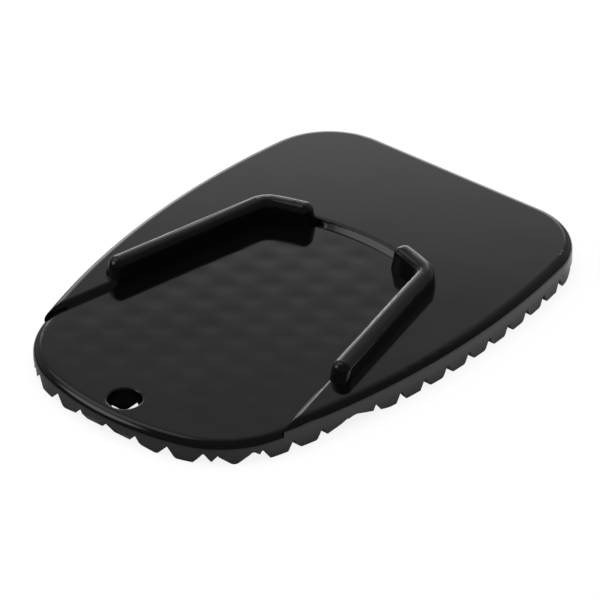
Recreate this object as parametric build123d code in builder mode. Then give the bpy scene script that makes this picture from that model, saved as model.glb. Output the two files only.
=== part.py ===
"""Kickstand foot enlarger: a moulded pad that spreads the load of a motorbike's side stand on soft ground.

The pad is one piece of plastic. The frame is the pad's own: Z = 0 on the tips of the tread lugs, the narrow
nose towards -Y, the wide end towards +Y, and the YZ plane as the plane of symmetry. All sizes are millimetres.
"""
from build123d import *

import os
from math import atan2, cos, degrees, radians, sqrt, tan

# Plate outline in plan, with distances along the pad measured from the tip of the nose
length = 118.6
width = 84.4
widest_from_nose = 75.9
nose_radius = 63.5
nose_corner_radius = 21.8
side_radius = 188.9
back_corner_radius = 17.3

# Heights, stacked from the ground upwards
lug_height = 2.3
plate_thickness = 4.4
seat_depth = 1.4
rail_height = 4.0

# Rounded upper edges, round the rim of the flanks and along the nose
rim_radius = 2.0
nose_edge_radius = 1.9

# Tread lugs: truncated pyramids left between two families of grooves
lug_pitch_x = 7.5
lug_pitch_y = 6.85
lug_tip_x = 3.7
lug_tip_y = 4.0
groove_floor = 0.5
groove_from_nose = 61.5
lug_inset = 0.15
lug_inset_height = 0.15

# Seat recess, open at the nose: two converging sides and an arched back
seat_length = 84.3
seat_half_width = 24.4
seat_side_angle = 11.8
seat_back_radius = 57.9
seat_draft = 5.0
seat_edge_radius = 1.0

# Rails that hold the stand's foot: a side leg, a bend and a short leg along the arch
rail_from_nose = 37.7
rail_top_width = 4.1
rail_draft = 5.0
rail_foot_proud = 0.2
rail_foot_behind = 1.2
rail_bend_radius = 4.5
rail_front_rake = 15.0
rail_gap = 24.6
rail_end_rake = 9.0
rail_corner_radius = 1.95
rail_edge_radius = 1.8

# Lanyard hole
hole_diameter = 7.2
hole_from_nose = 6.3
hole_lip_radius = 0.5

# Levels that follow from the heights
root_z = lug_height
wall_z = root_z + lug_inset_height
flank_z = root_z + plate_thickness
floor_z = flank_z - seat_depth
rail_z = flank_z + rail_height

# Places along the pad, which is centred on the origin
nose_y = -length / 2
back_y = length / 2
widest_y = nose_y + widest_from_nose
seat_back_y = nose_y + seat_length
seat_arc_y = seat_back_y - seat_back_radius
rail_front_y = nose_y + rail_from_nose
hole_y = nose_y + hole_from_nose

# Lines that the seat and the rails share: the rails' feet stand a little proud of the seat's sides, and reach
# a little behind its arched back
side_slope = tan(radians(seat_side_angle))
rail_rise = rail_z - floor_z
rail_foot_width = rail_top_width + 2 * rail_rise * tan(radians(rail_draft))
rail_line_offset = (rail_foot_width / 2 - rail_foot_proud) / cos(radians(seat_side_angle))
rail_arc_radius = seat_back_radius + rail_foot_behind - rail_foot_width / 2

# Rows of grooves that reach past the outline on every side
groove_columns = 2 * int(width / 2 / lug_pitch_x) + 1
groove_rows = 2 * int(length / 2 / lug_pitch_y) + 3


def plate_outline(level, inset=0):
    """Plan outline at one level: a round nose, bowed sides and a straight back, drawn inset from the wall."""
    with BuildSketch(Plane.XY.offset(level)) as outline:
        with Locations((0, nose_y + nose_radius)):
            Circle(nose_radius - inset)
            Rectangle(2 * nose_radius, length - nose_radius - inset, align=(Align.CENTER, Align.MIN))
        for side in (-1, 1):
            with Locations((side * (width / 2 - side_radius), widest_y)):
                Circle(side_radius - inset, mode=Mode.INTERSECT)
        with Locations((0, back_y - inset)):
            Rectangle(2 * width, 2 * length, align=(Align.CENTER, Align.MAX), mode=Mode.INTERSECT)
        fillet(outline.vertices().sort_by(Axis.Y)[:2], nose_corner_radius - inset)
        fillet(outline.vertices().sort_by(Axis.Y)[-2:], back_corner_radius - inset)
    return outline.sketch


def seat_side_x(y):
    """Half width of the seat, measured at its floor."""
    return seat_half_width - y * side_slope


def rail_outline(level, rail_width, front_y, gap):
    """Outline of the right-hand rail at one level, from its front end round the bend to its inner end."""
    front = (seat_side_x(front_y) + rail_line_offset, front_y)
    inner_end = (gap / 2, seat_arc_y + sqrt(rail_arc_radius**2 - (gap / 2) ** 2))
    with BuildSketch(Plane.XY.offset(level)) as outline:
        with BuildLine() as path:
            arch = CenterArc((0, seat_arc_y), rail_arc_radius, 0, 90, mode=Mode.PRIVATE)
            side_leg = IntersectingLine(front, (-side_slope, 1), arch)
            RadiusArc(side_leg @ 1, inner_end, -rail_arc_radius)
            fillet(path.vertices(), rail_bend_radius)
        trace(line_width=rail_width)
        front_corners = outline.vertices().sort_by(Axis.Y)[:2]
        end_corners = outline.vertices().sort_by(Axis.X)[:2]
        fillet(front_corners + end_corners, rail_corner_radius)
    return outline.sketch


def groove_section(pitch, tip):
    """Section of one tread groove, wide at its mouth on the ground and narrow at the lugs' roots."""
    mouth = pitch - tip
    side_angle = degrees(atan2(lug_height, (mouth - groove_floor) / 2))
    Trapezoid(mouth, lug_height, side_angle, align=(Align.CENTER, Align.MIN))


# Plate under the seat, with the rounded edge that shows along the nose
with BuildPart() as seat_plate:
    extrude(plate_outline(wall_z), amount=floor_z - wall_z)
    fillet(seat_plate.faces().sort_by(Axis.Z)[-1].edges(), nose_edge_radius)

# Room to be cut for the seat: its sides lean outwards, and its nose end stands open
with BuildPart() as seat_room:
    with BuildSketch(Plane.XY.offset(floor_z)) as seat_outline:
        with BuildLine():
            Polyline(
                (-seat_side_x(nose_y - length), nose_y - length),
                (seat_side_x(nose_y - length), nose_y - length),
                (seat_side_x(back_y), back_y),
                (-seat_side_x(back_y), back_y),
                close=True,
            )
        make_face()
        with Locations((0, seat_arc_y)):
            Circle(seat_back_radius, mode=Mode.INTERSECT)
    extrude(amount=rail_rise, taper=-seat_draft)
    extrude(seat_outline.sketch, amount=-nose_edge_radius)
    add(seat_plate.part, mode=Mode.SUBTRACT)

# Rails: each is lofted from its foot on the seat floor to its narrower top, and its top edges are rounded
with BuildPart() as rails:
    front_run = rail_rise * tan(radians(rail_front_rake))
    end_run = rail_rise * tan(radians(rail_end_rake))
    foot = rail_outline(floor_z, rail_foot_width, rail_front_y - front_run, rail_gap - 2 * end_run)
    top = rail_outline(rail_z, rail_top_width, rail_front_y, rail_gap)
    loft(sections=[foot, top], ruled=True)
    fillet(rails.faces().sort_by(Axis.Z)[-1].edges(), rail_edge_radius)
    mirror(about=Plane.YZ)

# Plate with the rounded rim that the flanks are trimmed to
with BuildPart() as rim_plate:
    extrude(plate_outline(wall_z), amount=flank_z - wall_z)
    fillet(rim_plate.faces().sort_by(Axis.Z)[-1].edges(), rim_radius)

# The pad: the plate with its seat, softened along the seat's upper edges and then trimmed to the rim
with BuildPart() as kickstand_pad:
    extrude(plate_outline(wall_z), amount=flank_z - wall_z)
    add(seat_room.part, mode=Mode.SUBTRACT)
    flank = kickstand_pad.faces().filter_by(Axis.Z).sort_by(Axis.Z)[-1]
    fillet(flank.edges().sort_by_distance((0, 0, flank_z))[:3], seat_edge_radius)
    add(rim_plate.part, mode=Mode.INTERSECT)

    # Tread: a slab a little inside the wall, which grooves along and across cut into rows of lugs
    extrude(plate_outline(0, lug_inset), amount=floor_z - nose_edge_radius)
    with BuildSketch(Plane.XZ):
        with GridLocations(lug_pitch_x, 0, groove_columns, 1):
            groove_section(lug_pitch_x, lug_tip_x)
    extrude(amount=length, both=True, mode=Mode.SUBTRACT)
    with BuildSketch(Plane.YZ):
        with Locations((nose_y + groove_from_nose, 0)):
            with GridLocations(lug_pitch_y, 0, groove_rows, 1):
                groove_section(lug_pitch_y, lug_tip_y)
    extrude(amount=width, both=True, mode=Mode.SUBTRACT)

    # Rails on the seat, and the lanyard hole with its rounded lip
    add(rails.part)
    with Locations((0, hole_y, floor_z)):
        Hole(hole_diameter / 2)
    hole_rims = kickstand_pad.edges().filter_by(GeomType.CIRCLE).sort_by_distance((0, hole_y, floor_z))
    fillet(hole_rims[0], hole_lip_radius)

kickstand_pad.part.label = "kickstand_pad"
os.makedirs("parts", exist_ok=True)
export_step(kickstand_pad.part, "parts/kickstand_pad.step")
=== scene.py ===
# %% [markdown]
# A kickstand pad in studio light
#
# This lesson dresses one small part: the plastic pad that a rider puts under the foot of a motorbike's side
# stand, so that the stand doesn't sink into grass, sand or hot tar. The exact solid comes from CAD. Here it
# gets what CAD leaves out: softened lugs, leaning seat walls, the faint sink marks of the moulding, a glossy
# black finish with a grained edge, and a white studio. Everything is in metres, in the frame of the CAD model.

# %% Load the frame
import bpy
import bmesh
from math import copysign, cos, pi, radians, sin, sqrt, tan
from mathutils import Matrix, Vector
from mathutils.kdtree import KDTree


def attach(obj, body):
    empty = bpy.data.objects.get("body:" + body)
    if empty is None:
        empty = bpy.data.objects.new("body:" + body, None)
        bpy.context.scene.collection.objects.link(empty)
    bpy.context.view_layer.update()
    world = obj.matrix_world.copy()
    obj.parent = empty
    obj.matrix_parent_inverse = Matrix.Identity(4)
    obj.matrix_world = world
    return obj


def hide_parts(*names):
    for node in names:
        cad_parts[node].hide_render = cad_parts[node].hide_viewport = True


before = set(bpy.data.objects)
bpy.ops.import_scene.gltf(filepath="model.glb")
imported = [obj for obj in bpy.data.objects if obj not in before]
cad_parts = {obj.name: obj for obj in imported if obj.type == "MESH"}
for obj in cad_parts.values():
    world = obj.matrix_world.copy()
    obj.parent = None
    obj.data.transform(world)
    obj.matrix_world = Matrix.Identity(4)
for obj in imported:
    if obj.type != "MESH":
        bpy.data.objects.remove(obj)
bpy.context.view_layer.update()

MM = 0.001

# %% [markdown]
# The camera
#
# A camera can be placed by eye, or worked out from the photograph. Lines that are parallel on the pad stay
# almost parallel in the photograph, so the lens was long and stood far away. The numbers below were fitted
# to the pad's outline: the angles say from where it is seen, and the aim is the point in the middle of the
# frame.

# %% Camera
CAMERA_TURN = radians(39.54)
CAMERA_HEIGHT = radians(33.61)
CAMERA_DISTANCE = 851.2 * MM
CAMERA_AIM = Vector((5.91, -3.48, 6.7)) * MM
SENSOR_WIDTH = 36
FOCAL_LENGTH = 240
NEAREST_SEEN = 0.05
FARTHEST_SEEN = 20

towards_camera = Vector((
    sin(CAMERA_TURN) * cos(CAMERA_HEIGHT),
    -cos(CAMERA_TURN) * cos(CAMERA_HEIGHT),
    sin(CAMERA_HEIGHT),
))
camera_data = bpy.data.cameras.new("studio_camera")
camera_data.sensor_width = SENSOR_WIDTH
camera_data.lens = FOCAL_LENGTH
camera_data.clip_start = NEAREST_SEEN
camera_data.clip_end = FARTHEST_SEEN
camera = bpy.data.objects.new("studio_camera", camera_data)
camera.location = CAMERA_AIM + towards_camera * CAMERA_DISTANCE
camera.rotation_euler = towards_camera.to_track_quat("Z", "Y").to_euler()
bpy.context.scene.collection.objects.link(camera)
bpy.context.scene.camera = camera
print("Camera at", [round(value, 4) for value in camera.location])

# %% [markdown]
# The pad's own mesh
#
# The CAD node is a set of loose triangles. It could be drawn again from a primitive, but its outline, seat
# and rails are exact already, so a copy of the mesh is the better start. The copy is joined up first: corners
# that lie on each other are merged, and the old normals are thrown away, because new ones are made at the end.

# %% Copy the pad and join its triangles
SAME_PLACE = 0.001 * MM


def only(piece):
    """Makes this piece the one that the operators act on."""
    bpy.ops.object.select_all(action="DESELECT")
    piece.select_set(True)
    bpy.context.view_layer.objects.active = piece


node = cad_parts["kickstand_pad"]
pad = bpy.data.objects.new("moulded_pad", node.data.copy())
bpy.context.scene.collection.objects.link(pad)
only(pad)
bpy.ops.mesh.customdata_custom_splitnormals_clear()
bpy.ops.object.mode_set(mode="EDIT")
bpy.ops.mesh.select_all(action="SELECT")
bpy.ops.mesh.remove_doubles(threshold=SAME_PLACE)
bpy.ops.object.mode_set(mode="OBJECT")
print("Pad:", len(pad.data.vertices), "corners,", len(pad.data.polygons), "faces")

# %% [markdown]
# The tread
#
# The lugs under the pad are cut sharp in CAD. On the real pad their tips are soft, because the tool that made
# the mould was round, and because a sharp plastic edge wears off. Bevel rounds a chosen set of edges, but it
# goes wrong where loose triangles meet at a corner. So flat faces are dissolved into whole faces first, those
# of the flanks and the seat floor too, and then only the long edges round the lugs' tips are rounded.

# %% Merge the flat triangles of the tread, the flanks and the seat floor
TREAD_TOP = 2.36 * MM
FLOOR_Z = 5.3 * MM
FLANK_Z = 6.7 * MM
HAIR = 0.01 * MM
LOOKS_UP = 0.999
FLAT_WITHIN = radians(0.5)


def in_tread(part):
    """True for a face or an edge that lies wholly below the plate."""
    return max(corner.co.z for corner in part.verts) < TREAD_TOP


def is_level_at(face, z):
    """True for a face that lies level at one height and looks up."""
    return face.normal.z > LOOKS_UP and abs(face.calc_center_median().z - z) < HAIR


def is_to_be_merged(face):
    """True for a face of the tread, the flanks or the seat floor."""
    return in_tread(face) or is_level_at(face, FLANK_Z) or is_level_at(face, FLOOR_Z)


def edit_faces():
    """Opens the pad in edit mode, ready to select faces."""
    only(pad)
    bpy.ops.object.mode_set(mode="EDIT")
    bpy.ops.mesh.select_mode(type="FACE")


def select_faces(test):
    """Selects those faces of the pad that pass a test."""
    mesh = bmesh.from_edit_mesh(pad.data)
    for face in mesh.faces:
        face.select_set(test(face))
    bmesh.update_edit_mesh(pad.data)


edit_faces()
select_faces(is_to_be_merged)
bpy.ops.mesh.dissolve_limited(angle_limit=FLAT_WITHIN)
bpy.ops.object.mode_set(mode="OBJECT")
print("Pad with whole flat faces:", len(pad.data.polygons), "faces")

# %% Round the lugs' tips
LUG_ROUNDING = 0.5 * MM
ROUNDING_SEGMENTS = 3
SHORTEST_ROUNDED = 1.6 * MM
SMALLEST_TURN = radians(10)
UPRIGHT_WITHIN = 0.05


def is_tip_edge(edge):
    """True for a long edge on the ground, between a lug's tip and one of its slanted sides."""
    if max(corner.co.z for corner in edge.verts) > HAIR:
        return False
    on_wall = any(abs(face.normal.z) < UPRIGHT_WITHIN for face in edge.link_faces)
    stands_out = edge.calc_face_angle_signed(0.0) > SMALLEST_TURN
    return stands_out and not on_wall and edge.calc_length() > SHORTEST_ROUNDED


only(pad)
bpy.ops.object.mode_set(mode="EDIT")
bpy.ops.mesh.select_mode(type="EDGE")
bpy.ops.mesh.select_all(action="DESELECT")
mesh = bmesh.from_edit_mesh(pad.data)
mesh.normal_update()
rounded = 0
for edge in mesh.edges:
    if is_tip_edge(edge):
        edge.select_set(True)
        rounded += 1
bmesh.update_edit_mesh(pad.data)
bpy.ops.mesh.bevel(offset=LUG_ROUNDING, segments=ROUNDING_SEGMENTS, clamp_overlap=False)
bpy.ops.mesh.select_all(action="SELECT")
bpy.ops.mesh.dissolve_degenerate(threshold=SAME_PLACE)
bpy.ops.object.mode_set(mode="OBJECT")
print("Tread: rounded", rounded, "edges,", len(pad.data.polygons), "faces")

# %% [markdown]
# The ramps round the seat
#
# In CAD the seat has short walls that are nearly upright. On the real pad they lean like ramps: the one at
# the back catches the light as a pale line between the rails, and the one on the right as a bright line in
# front of its rail. A slope needs enough corners to bend, so the walls are cut into narrower columns first.
# Then their corners slide towards the seat, the lowest ones the most, and less and less towards the walls'
# ends.

# %% Measure from the seat's arched back and from its sides
ARCH_CENTRE = Vector((0, -32.9, 0)) * MM
ARCH_RADIUS = 57.9 * MM
SEAT_HALF_WIDTH = 24.4 * MM
SIDE_ANGLE = radians(11.8)


def from_arch(point):
    """Distance from a point to the seat's arched back, seen from above and positive behind it."""
    return (point - ARCH_CENTRE).to_2d().length - ARCH_RADIUS


def from_side(point):
    """Distance from a point to the nearer side of the seat, seen from above and positive outside it."""
    return (abs(point.x) - SEAT_HALF_WIDTH + point.y * tan(SIDE_ANGLE)) * cos(SIDE_ANGLE)


def out_of_arch(point):
    """Direction that points out of the seat at its arched back."""
    return Vector((point.x - ARCH_CENTRE.x, point.y - ARCH_CENTRE.y, 0)).normalized()


def out_of_side(point):
    """Direction that points out of the seat at its nearer side."""
    return Vector((copysign(cos(SIDE_ANGLE), point.x), sin(SIDE_ANGLE), 0))


print("Arched back at y", round(ARCH_CENTRE.y + ARCH_RADIUS, 4), "on the centre line")

# %% Say where the walls lean
BACK_HALF_WIDTH = 11.5 * MM
SIDE_FRONT_Y = -37.6 * MM
SIDE_BACK_Y = -23.3 * MM
RAMP_TAPER = 2.0 * MM


def share_of_back(point):
    """Share of the ramp at the back: 1 between the rails, 0 at their ends and below 0 elsewhere."""
    if point.y < 0:
        return -1
    return min((BACK_HALF_WIDTH - abs(point.x)) / RAMP_TAPER, 1)


def share_of_side(point):
    """Share of the ramps at the sides: 1 along most of the wall, 0 at its ends and below 0 elsewhere."""
    return min((point.y - SIDE_FRONT_Y) / RAMP_TAPER, (SIDE_BACK_Y - point.y) / RAMP_TAPER, 1)


print("Side ramps from y", SIDE_FRONT_Y, "to", SIDE_BACK_Y)

# %% Cut the walls into columns
COLUMN_WIDTH = 1.8 * MM
BACK_COLUMNS = range(-6, 7)
SIDE_COLUMNS = range(1, 8)
WALL_AND_ROUNDING = 1.1 * MM
A_LITTLE_PAST_THE_END = -0.7


def cut_walls(distance, share, point, direction):
    """Cuts the walls, and the rounding above them, along one upright plane."""
    def is_wall(face):
        middle = face.calc_center_median()
        is_near = abs(distance(middle)) < WALL_AND_ROUNDING and share(middle) > A_LITTLE_PAST_THE_END
        return is_near and FLOOR_Z < middle.z < FLANK_Z

    select_faces(is_wall)
    bpy.ops.mesh.bisect(plane_co=point, plane_no=direction)


edit_faces()
for i in BACK_COLUMNS:
    cut_walls(from_arch, share_of_back, (i * COLUMN_WIDTH, 0, 0), (1, 0, 0))
for i in SIDE_COLUMNS:
    cut_walls(from_side, share_of_side, (0, SIDE_FRONT_Y + i * COLUMN_WIDTH, 0), (0, 1, 0))
bpy.ops.object.mode_set(mode="OBJECT")
print("Pad with its walls cut:", len(pad.data.polygons), "faces")

# %% Lean the walls
WALL_ALONE = 0.6 * MM
BACK_RAMP = {"run": 0.6 * MM, "top_z": 6.35 * MM, "top_back": 0.26 * MM}
SIDE_RAMP = {"run": 0.75 * MM, "top_z": 6.4 * MM, "top_back": 0.3 * MM}
LOOKS_DOWN = -0.5
UNDER_THE_FLOOR = 0.1 * MM


def lean_walls(distance, outward, share, run, top_z, top_back):
    """Slides the walls' corners onto a ramp and returns how many moved.

    The ramp's foot lies the run inside the wall's foot, and its top lies behind it by top_back.
    """
    mesh = bmesh.new()
    mesh.from_mesh(pad.data)
    moved = 0
    for corner in mesh.verts:
        at_wall = abs(distance(corner.co)) < WALL_ALONE and share(corner.co) > 0
        if at_wall and FLOOR_Z - HAIR < corner.co.z < top_z:
            rise = (corner.co.z - FLOOR_Z) / (top_z - FLOOR_Z)
            ramp = rise * (run + top_back) - run
            corner.co += outward(corner.co) * (ramp - distance(corner.co)) * share(corner.co)
            moved += 1
    mesh.to_mesh(pad.data)
    mesh.free()
    return moved


def is_folded(face):
    """True for a face of the pad's top that looks down."""
    return face.normal.z < LOOKS_DOWN and face.center.z > FLOOR_Z - UNDER_THE_FLOOR


at_back = lean_walls(from_arch, out_of_arch, share_of_back, **BACK_RAMP)
at_sides = lean_walls(from_side, out_of_side, share_of_side, **SIDE_RAMP)
folded = sum(is_folded(face) for face in pad.data.polygons)
print("Ramps: moved", at_back, "and", at_sides, "corners, folded faces:", folded)

# %% [markdown]
# The seat floor and its sink marks
#
# Where a moulded plate is thick, the plastic shrinks more as it cools. On this pad each lug underneath leaves
# a shallow dip in the seat floor above it, seen only in the reflections. A bump in the material would be lost
# in the exported mesh, so the dips are real: the floor is cut into a fine grid with bisect, and its inner
# corners are lowered by a smooth wave that has the pitch of the lugs.

# %% Cut the seat floor into a grid
LUG_PITCH_X = 7.5 * MM
LUG_PITCH_Y = 6.85 * MM
GROOVE_Y = 2.2 * MM
CUTS_PER_LUG = 6
CUTS_ALONG = range(-30, 31)
CUTS_ACROSS = range(-56, 24)


def is_seat_floor(face):
    """True for a face of the seat floor."""
    return is_level_at(face, FLOOR_Z)


def cut_floor(point, direction):
    """Cuts the seat floor along one upright plane."""
    select_faces(is_seat_floor)
    bpy.ops.mesh.bisect(plane_co=point, plane_no=direction)


edit_faces()
step_x = LUG_PITCH_X / CUTS_PER_LUG
step_y = LUG_PITCH_Y / CUTS_PER_LUG
for i in CUTS_ALONG:
    cut_floor((i * step_x, 0, 0), (1, 0, 0))
for i in CUTS_ACROSS:
    cut_floor((0, GROOVE_Y + i * step_y, 0), (0, 1, 0))
bpy.ops.object.mode_set(mode="OBJECT")
print("Pad with its floor cut:", len(pad.data.polygons), "faces")

# %% Lower the sink marks
SINK_DEPTH = 0.018 * MM
SINK_FADE = 5 * MM


def wave(distance, pitch):
    """A smooth wave from 0 over a groove to 1 over the middle of a lug."""
    return 0.5 - 0.5 * cos(2 * pi * distance / pitch)


mesh = bmesh.new()
mesh.from_mesh(pad.data)
inner_corners = []
edge_corners = []
for corner in mesh.verts:
    on_floor = [is_seat_floor(face) for face in corner.link_faces]
    if all(on_floor):
        inner_corners.append(corner)
    elif any(on_floor):
        edge_corners.append(corner)
floor_edge = KDTree(len(edge_corners))
for i, corner in enumerate(edge_corners):
    floor_edge.insert(corner.co, i)
floor_edge.balance()
for corner in inner_corners:
    edge_distance = floor_edge.find(corner.co)[2]
    fade = min(edge_distance / SINK_FADE, 1)
    over_lug = wave(corner.co.x, LUG_PITCH_X) * wave(corner.co.y - GROOVE_Y, LUG_PITCH_Y)
    corner.co.z -= SINK_DEPTH * fade * over_lug
mesh.to_mesh(pad.data)
mesh.free()
print("Sink marks: lowered", len(inner_corners), "corners")

# %% [markdown]
# The rim along the sides
#
# Along the two long sides, the mesh that comes from CAD closes the top of the rounded rim with fans of long
# triangles. They cut the curve short and would break its reflection into dashes. The rim is cut into rows
# there, and its corners are pushed out to the true shape: a quarter circle, carried along a wide arc.

# %% Find the rim of the long sides
SIDE_RADIUS = 188.9 * MM
SIDE_CENTRE = Vector((-146.7, 16.6)) * MM
RIM_RADIUS = 2.0 * MM
RIM_FRONT_Y = -33.5 * MM
RIM_BACK_Y = 44 * MM
DEEPEST_FAN = 0.4 * MM


def reach(point):
    """Distance from a point to the middle of the wide arc of its side, seen from above."""
    return (Vector((abs(point.x), point.y)) - SIDE_CENTRE).length


def rim_reach(z):
    """Distance from the rounded rim to the middle of the wide arc, at one height."""
    return SIDE_RADIUS - RIM_RADIUS + sqrt(RIM_RADIUS**2 - (z - FLANK_Z + RIM_RADIUS) ** 2)


def on_side_rim(point):
    """True for a point on the rounded rim of a long side, or a little inside it."""
    if not FLANK_Z - RIM_RADIUS < point.z < FLANK_Z or not RIM_FRONT_Y < point.y < RIM_BACK_Y:
        return False
    return -DEEPEST_FAN < reach(point) - rim_reach(point.z) < HAIR


def is_side_rim(face):
    """True for a face of the rounded rim of a long side."""
    return on_side_rim(face.calc_center_median())


rim_foot = rim_reach(FLANK_Z - RIM_RADIUS)
rim_top = rim_reach(FLANK_Z)
print("Rim lies", round(rim_top, 4), "to", round(rim_foot, 4), "from the middle of its arc")

# %% Cut the rim into rows and push them out
edit_faces()
mesh = bmesh.from_edit_mesh(pad.data)
rows = sorted({round(corner.co.z / MM, 2) for corner in mesh.verts if on_side_rim(corner.co)})
for row in rows:
    select_faces(is_side_rim)
    bpy.ops.mesh.bisect(plane_co=(0, 0, row * MM), plane_no=(0, 0, 1), threshold=HAIR)
pushed = 0
mesh = bmesh.from_edit_mesh(pad.data)
for corner in mesh.verts:
    if on_side_rim(corner.co):
        growth = rim_reach(corner.co.z) / reach(corner.co)
        half_width = SIDE_CENTRE.x + (abs(corner.co.x) - SIDE_CENTRE.x) * growth
        corner.co.x = copysign(half_width, corner.co.x)
        corner.co.y = SIDE_CENTRE.y + (corner.co.y - SIDE_CENTRE.y) * growth
        pushed += 1
bmesh.update_edit_mesh(pad.data)
bpy.ops.object.mode_set(mode="OBJECT")
print("Rim:", len(rows), "rows,", pushed, "corners on the true rounding")

# %% [markdown]
# Shading
#
# A glossy surface shows every wrong normal. Triangles are joined in pairs first, because a strip of
# four-sided faces bends the light evenly and a zigzag of triangles doesn't. Faces that meet at a small angle
# are then shaded as one curve, and sharper edges stay sharp. Weighted normals let the large flat faces
# decide, so that the flat top mirrors the studio like glass and only the rounded edges bend the reflection.
# Within the rounded rim no face is flat, so its corners are left out of that and keep the plain average of
# the faces round them.

# %% Join triangles in pairs
JOINED_WITHIN = radians(12)
ANY_SHAPE = radians(180)


def is_upper_triangle(face):
    """True for a triangle above the tread."""
    return len(face.verts) == 3 and not in_tread(face)


edit_faces()
select_faces(is_upper_triangle)
bpy.ops.mesh.tris_convert_to_quads(face_threshold=JOINED_WITHIN, shape_threshold=ANY_SHAPE)
bpy.ops.object.mode_set(mode="OBJECT")
print("Pad in four-sided faces:", len(pad.data.polygons), "faces")

# %% Pick the corners of the rounded rim
NEARLY_UPRIGHT = 0.02
NEARLY_LEVEL = 0.9995


def on_rim(corner):
    """True for a corner within the rounded rim, where every face slants outwards."""
    if not TREAD_TOP < corner.co.z < FLANK_Z:
        return False
    outwards = Vector((corner.co.x, corner.co.y, 0))
    return all(
        NEARLY_UPRIGHT < face.normal.z < NEARLY_LEVEL and face.normal.dot(outwards) > 0
        for face in corner.link_faces
    )


mesh = bmesh.new()
mesh.from_mesh(pad.data)
rim_corners = [corner.index for corner in mesh.verts if on_rim(corner)]
mesh.free()
rim = pad.vertex_groups.new(name="rounded_rim")
rim.add(rim_corners, 1, "REPLACE")
print("Rounded rim:", len(rim_corners), "corners")

# %% Smooth shading
SMOOTH_WITHIN = radians(24)
WEIGHT_OF_LARGE_FACES = 90

only(pad)
bpy.ops.object.shade_smooth_by_angle(angle=SMOOTH_WITHIN)
weights = pad.modifiers.new("flat_faces_first", "WEIGHTED_NORMAL")
weights.mode = "FACE_AREA"
weights.weight = WEIGHT_OF_LARGE_FACES
weights.keep_sharp = True
weights.vertex_group = rim.name
weights.invert_vertex_group = True
bpy.ops.object.modifier_apply(modifier=weights.name)
pad.vertex_groups.clear()
print("Shaded", pad.name, "with", len(pad.data.polygons), "faces")

# %% [markdown]
# The plastic
#
# The pad is moulded in black plastic. The mould was polished where the top shows, and left with a fine grain
# at the wall and the tread, so one material has to be both. It could be two materials on two sets of faces,
# but then the change would be a hard line. Here the height above the ground, read from the object's own
# coordinates, blends from the grain to the polish. Clouds of noise vary the gloss a little, as handling does.

# %% A material, and helpers that add nodes
PLASTIC_IOR = 1.5

plastic = bpy.data.materials.new("black_moulded_plastic")
plastic.use_nodes = True
nodes = plastic.node_tree.nodes
links = plastic.node_tree.links
shader = nodes["Principled BSDF"]
shader.inputs["IOR"].default_value = PLASTIC_IOR
place = nodes.new("ShaderNodeTexCoord")


def noise(scale, detail):
    """Adds a noise that lies fixed in the object's own coordinates."""
    cloud = nodes.new("ShaderNodeTexNoise")
    cloud.inputs["Scale"].default_value = scale
    cloud.inputs["Detail"].default_value = detail
    links.new(place.outputs["Object"], cloud.inputs["Vector"])
    return cloud.outputs["Fac"]


def ranged(value, low, high, to_low, to_high, kind="LINEAR"):
    """Adds a node that maps a value from one range to another."""
    mapped = nodes.new("ShaderNodeMapRange")
    mapped.interpolation_type = kind
    mapped.inputs["From Min"].default_value = low
    mapped.inputs["From Max"].default_value = high
    mapped.inputs["To Min"].default_value = to_low
    mapped.inputs["To Max"].default_value = to_high
    links.new(value, mapped.inputs["Value"])
    return mapped.outputs["Result"]


def blended(share, first, second):
    """Adds a node that blends two values."""
    blend = nodes.new("ShaderNodeMix")
    links.new(share, blend.inputs["Factor"])
    links.new(first, blend.inputs["A"])
    links.new(second, blend.inputs["B"])
    return blend.outputs["Result"]


print("Material", plastic.name)

# %% Polished top and grained edge
POLISH_FROM = 2.6 * MM
POLISH_TO = 4.2 * MM
HANDLING_SCALE = 90
HANDLING_DETAIL = 3
GRAIN_SCALE = 1500
GRAIN_DETAIL = 2
NOISE_SPAN = (0.3, 0.7)
GRAINED_ROUGHNESS = (0.22, 0.38)
POLISHED_ROUGHNESS = (0.07, 0.10)

above_ground = nodes.new("ShaderNodeSeparateXYZ")
links.new(place.outputs["Object"], above_ground.inputs[0])
polish = ranged(above_ground.outputs["Z"], POLISH_FROM, POLISH_TO, 0, 1, "SMOOTHSTEP")
handling = noise(HANDLING_SCALE, HANDLING_DETAIL)
grain = noise(GRAIN_SCALE, GRAIN_DETAIL)
grained = ranged(grain, *NOISE_SPAN, *GRAINED_ROUGHNESS)
polished = ranged(handling, *NOISE_SPAN, *POLISHED_ROUGHNESS)
links.new(blended(polish, grained, polished), shader.inputs["Roughness"])
print("Polish rises from", POLISH_FROM, "to", POLISH_TO)

# %% Black and its grain
DEEP_BLACK = (0.0016, 0.0016, 0.0018, 1)
HANDLED_BLACK = (0.0024, 0.0024, 0.0027, 1)
GRAIN_DEPTH = 0.02 * MM
GRAIN_STRENGTH = 0.5

tint = nodes.new("ShaderNodeMix")
tint.data_type = "RGBA"
tint.inputs["A"].default_value = DEEP_BLACK
tint.inputs["B"].default_value = HANDLED_BLACK
links.new(handling, tint.inputs["Factor"])
links.new(tint.outputs["Result"], shader.inputs["Base Color"])

bump = nodes.new("ShaderNodeBump")
bump.inputs["Distance"].default_value = GRAIN_DEPTH
links.new(grain, bump.inputs["Height"])
links.new(ranged(polish, 0, 1, GRAIN_STRENGTH, 0), bump.inputs["Strength"])
links.new(bump.outputs["Normal"], shader.inputs["Normal"])
print("Plastic has", len(nodes), "nodes")

# %% Dress the pad
pad.data.materials.clear()
pad.data.materials.append(plastic)
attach(pad, "root")
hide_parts("kickstand_pad")
print("Dressed", pad.name, "in", plastic.name)

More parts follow.
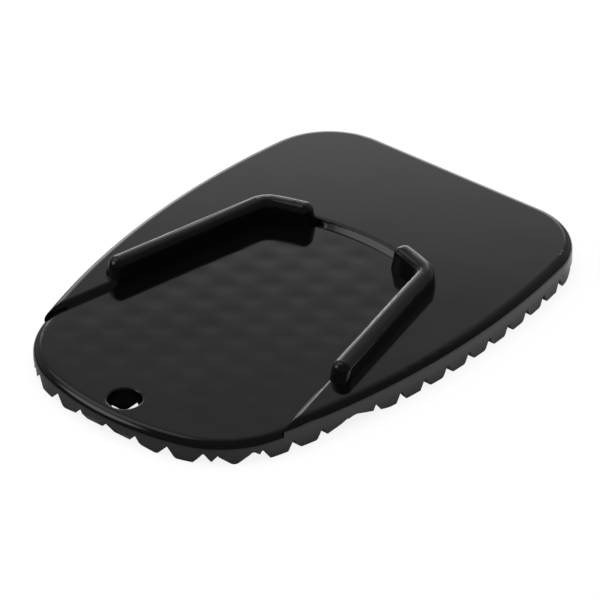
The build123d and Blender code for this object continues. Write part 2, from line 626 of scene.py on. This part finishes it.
# %% [markdown]
# The white floor
#
# The pad lies on white paper. A bright lamp could burn the paper to white, but it would also light the pad
# too much. Light Path tells which kind of ray meets the floor, so the camera sees paper that glows at about
# white, with a share of matt paper in it that keeps the pad's soft shadow. A mirror image of the paper is
# another matter: black gloss would show far too much white. So reflections find a painted pool of light round
# the pad, pale glowing paper that fades with distance to paper painted dark as shade, and painted shade under
# the hole. The floor's lower side is clear, for a look at the tread from below.

# %% Floor and its paper
FLOOR_SIZE = 6

only(camera)
bpy.ops.mesh.primitive_plane_add(size=FLOOR_SIZE, location=(0, 0, 0))
floor = bpy.context.object
floor.name = "studio_floor"
paper = bpy.data.materials.new("white_paper")
paper.use_nodes = True
nodes = paper.node_tree.nodes
links = paper.node_tree.links
nodes.clear()
place = nodes.new("ShaderNodeTexCoord")


def lit_paper(grey, glow_level):
    """Adds matt paper of a grey level, with a glow of its own."""
    matt = nodes.new("ShaderNodeBsdfDiffuse")
    matt.inputs["Color"].default_value = (grey, grey, grey, 1)
    glow = nodes.new("ShaderNodeEmission")
    glow.inputs["Strength"].default_value = glow_level
    both = nodes.new("ShaderNodeAddShader")
    links.new(matt.outputs[0], both.inputs[0])
    links.new(glow.outputs[0], both.inputs[1])
    return both.outputs[0]


def either_paper(share, first, second):
    """Adds a node that takes the second paper where the share is 1, and the first where it is 0."""
    mix = nodes.new("ShaderNodeMixShader")
    links.new(share, mix.inputs[0])
    links.new(first, mix.inputs[1])
    links.new(second, mix.inputs[2])
    return mix.outputs[0]


def distance_from(point):
    """Adds a node that measures how far the floor's points lie from one point."""
    away = nodes.new("ShaderNodeVectorMath")
    away.operation = "DISTANCE"
    away.inputs[1].default_value = point
    links.new(place.outputs["Object"], away.inputs[0])
    return away.outputs["Value"]


print("Floor", floor.name)

# %% Paper as the gloss mirrors it
POOL_CENTRE = Vector((12, 12, 0)) * MM
POOL_INNER = 52 * MM
POOL_OUTER = 100 * MM
HOLE_CENTRE = Vector((0, -53, 0)) * MM
SHADE_INNER = 5 * MM
SHADE_OUTER = 7 * MM
# Painted shade: the dark grey that reflections show outside the pool and under the hole.
PAINTED_SHADE_PAPER = 0.06
PALE_PAPER = 0.8
PAINTED_POOL_GLOW = 0.1

# Painted light, seen only in reflections: a pale, glowing pool round the pad that fades to painted shade
# farther out.
in_painted_light_pool = ranged(distance_from(POOL_CENTRE), POOL_INNER, POOL_OUTER, 1, 0, "SMOOTHSTEP")
# Painted shade: in reflections the paper under the hole is painted dark.
past_painted_hole_shade = ranged(distance_from(HOLE_CENTRE), SHADE_INNER, SHADE_OUTER, 0, 1)
in_mirror = either_paper(in_painted_light_pool, lit_paper(PAINTED_SHADE_PAPER, 0), lit_paper(PALE_PAPER, PAINTED_POOL_GLOW))
in_mirror = either_paper(past_painted_hole_shade, lit_paper(PAINTED_SHADE_PAPER, 0), in_mirror)
print("Pool of pale paper fades from", POOL_INNER, "to", POOL_OUTER)

# %% One paper for each kind of ray
SEEN_PAPER = 0.15
SEEN_GLOW = 0.87

ray = nodes.new("ShaderNodeLightPath")
side = nodes.new("ShaderNodeNewGeometry")
clear = nodes.new("ShaderNodeBsdfTransparent")
mirrored = nodes.new("ShaderNodeMath")
mirrored.operation = "MAXIMUM"
links.new(ray.outputs["Is Glossy Ray"], mirrored.inputs[0])
links.new(ray.outputs["Is Transmission Ray"], mirrored.inputs[1])
surface = either_paper(mirrored.outputs[0], lit_paper(PALE_PAPER, 0), in_mirror)
surface = either_paper(ray.outputs["Is Camera Ray"], surface, lit_paper(SEEN_PAPER, SEEN_GLOW))
surface = either_paper(side.outputs["Backfacing"], surface, clear.outputs[0])
output = nodes.new("ShaderNodeOutputMaterial")
links.new(surface, output.inputs["Surface"])
floor.data.materials.append(paper)
print("Paper has", len(nodes), "nodes")

# %% [markdown]
# The studio
#
# Black gloss shows little of itself: what is seen is the room. The pad was lit by a broad white sheet low
# behind it, which gives the top its soft fall from grey to black and the rails their bright far edges. A lamp
# high on the left and one lower on the front left draw the thin lines on the rails and the ramps. The rest of
# the room was dim. Lamps could be placed for each, but a world that is painted by direction is simpler, and
# it has no hard edges.

# %% A world, and helpers that paint it
world = bpy.data.worlds.new("studio")
world.use_nodes = True
bpy.context.scene.world = world
nodes = world.node_tree.nodes
links = world.node_tree.links
nodes.clear()
place = nodes.new("ShaderNodeTexCoord")


def towards(direction):
    """Adds a node that says how far a ray points along one direction."""
    along = nodes.new("ShaderNodeVectorMath")
    along.operation = "DOT_PRODUCT"
    along.inputs[1].default_value = Vector(direction).normalized()
    links.new(place.outputs["Generated"], along.inputs[0])
    return along.outputs["Value"]


def joined(operation, first, second):
    """Adds a node that multiplies or adds two values."""
    join = nodes.new("ShaderNodeMath")
    join.operation = operation
    links.new(first, join.inputs[0])
    links.new(second, join.inputs[1])
    return join.outputs[0]


def soft_edge(value, edge, level_before, level_after):
    """Adds a node that goes softly from one level to another where a value crosses an edge."""
    return ranged(value, *edge, level_before, level_after, "SMOOTHSTEP")


print("World", world.name)

# %% The white sheet behind the pad
BEHIND = (-0.636, 0.772, 0)
LEFT_OF_IT = (-0.772, -0.636, 0)
SHEET_TOP = (0.475, 0.567)
SHEET_LEVEL = 1.5
SHEET_FOOT = (0.15, 0.30)
FOOT_LEVEL = 2.0
SHEET_LEFT = (0.24, 0.36)
SHEET_RIGHT = (-0.36, -0.16)
SHEET_FRONT = (0.0, 0.4)

upwards = nodes.new("ShaderNodeSeparateXYZ")
links.new(place.outputs["Generated"], upwards.inputs[0])
across = towards(LEFT_OF_IT)
backwards = towards(BEHIND)
sheet = joined(
    "ADD",
    soft_edge(upwards.outputs["Z"], SHEET_TOP, SHEET_LEVEL, 0),
    soft_edge(upwards.outputs["Z"], SHEET_FOOT, FOOT_LEVEL, 0),
)
sheet = joined("MULTIPLY", sheet, soft_edge(across, SHEET_LEFT, 1, 0))
sheet = joined("MULTIPLY", sheet, soft_edge(across, SHEET_RIGHT, 0, 1))
sheet = joined("MULTIPLY", sheet, soft_edge(backwards, SHEET_FRONT, 0, 1))
print("Sheet reaches up to", SHEET_TOP[1])

# %% The two lamps and the dim room
LAMP = (-0.53, -0.05, 0.84)
LAMP_EDGE = (0.92, 0.99)
LAMP_LEVEL = 0.9
FRONT_LAMP = (-0.60, -0.62, 0.49)
FRONT_LAMP_EDGE = (0.935, 0.985)
FRONT_LAMP_LEVEL = 2.2
ROOM_EDGE = (-0.1, 0.8)
ROOM_FRONT_LEVEL = 0.13
ROOM_BACK_LEVEL = 0.42

lamp = soft_edge(towards(LAMP), LAMP_EDGE, 0, LAMP_LEVEL)
front_lamp = soft_edge(towards(FRONT_LAMP), FRONT_LAMP_EDGE, 0, FRONT_LAMP_LEVEL)
dim_room = soft_edge(backwards, ROOM_EDGE, ROOM_FRONT_LEVEL, ROOM_BACK_LEVEL)
total = sheet
for light in (lamp, front_lamp, dim_room):
    total = joined("ADD", total, light)
print("World has", len(nodes), "nodes so far")

# %% The painted room for the gloss, and plain white for the camera
room = nodes.new("ShaderNodeBackground")
links.new(total, room.inputs["Strength"])
white = nodes.new("ShaderNodeBackground")
ray = nodes.new("ShaderNodeLightPath")
seen = nodes.new("ShaderNodeMixShader")
links.new(ray.outputs["Is Camera Ray"], seen.inputs[0])
links.new(room.outputs[0], seen.inputs[1])
links.new(white.outputs[0], seen.inputs[2])
output = nodes.new("ShaderNodeOutputWorld")
links.new(seen.outputs[0], output.inputs["Surface"])
print("World has", len(nodes), "nodes")

# %% [markdown]
# Light for the paper
#
# The painted room is dim, so it leaves hardly any shadow. One large lamp above lights the paper and gives the
# pad a soft shadow at its foot. A lamp this large would show as a white square in the gloss, so it is hidden
# from reflections.

# %% Soft light from above
ABOVE_SIZE = 1.2
ABOVE_WATTS = 9
ABOVE_HEIGHT = 1.0

above_data = bpy.data.lights.new("soft_light_above", "AREA")
above_data.size = ABOVE_SIZE
above_data.energy = ABOVE_WATTS
above = bpy.data.objects.new("soft_light_above", above_data)
above.location = (0, 0, ABOVE_HEIGHT)
above.visible_glossy = False
bpy.context.scene.collection.objects.link(above)
print("Lamp above at", list(above.location))

# %% [markdown]
# Colour
#
# The Standard view shows a colour as it is written.

# %% View
bpy.context.scene.view_settings.view_transform = "Standard"
